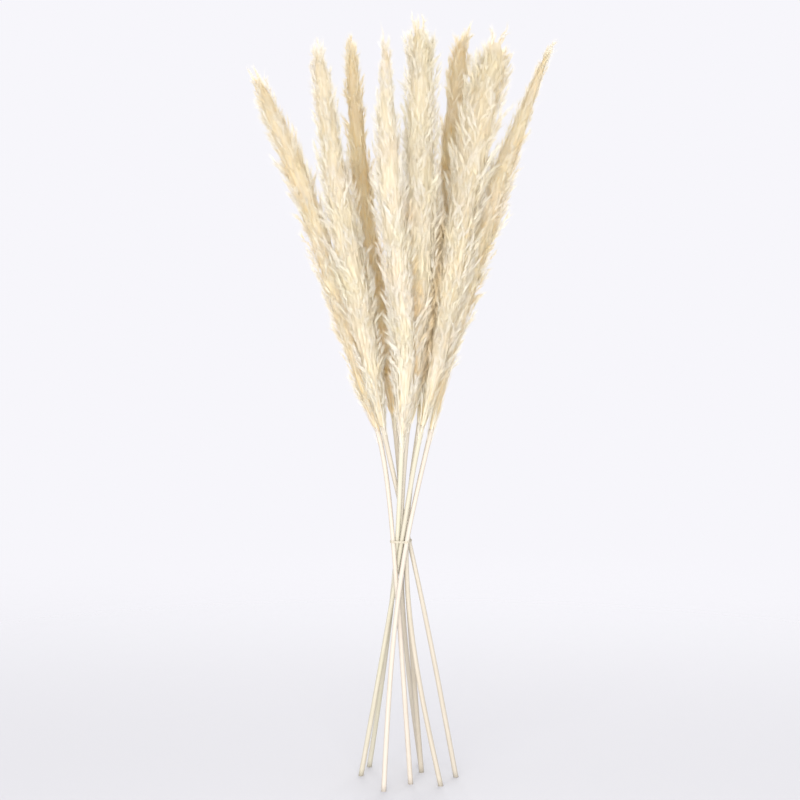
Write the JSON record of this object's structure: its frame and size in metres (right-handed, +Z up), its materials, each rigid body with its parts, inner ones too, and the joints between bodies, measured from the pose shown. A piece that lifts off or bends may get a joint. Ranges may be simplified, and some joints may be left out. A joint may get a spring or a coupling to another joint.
{
  "type": "dried pampas grass bunch",
  "caption": "Free-standing bunch of dried pampas grass: slim pale culms splayed from a tied waist, with long feathery cream heads.",
  "frame": {"origin": "centre of the bunch's box, on the floor that the cut ends stand on", "axes": "+Z up along the bunch, +X to the right as seen from the front, +Y to the back"},
  "size_m": [0.3178, 0.1398, 0.8129],
  "materials": {
    "stem": "smooth dry straw",
    "plume": "soft, feathery and matt",
    "tie": "dry raffia thread"
  },
  "bodies": {
    "root": {"stem_1": "stem", "stem_2": "stem", "stem_3": "stem", "stem_4": "stem", "stem_5": "stem", "stem_6": "stem", "stem_7": "stem", "stem_8": "stem", "plume_1": "plume", "plume_2": "plume", "plume_3": "plume", "plume_4": "plume", "plume_5": "plume", "plume_6": "plume", "plume_7": "plume", "plume_8": "plume", "tie": "tie"}
  },
  "joints": []
}
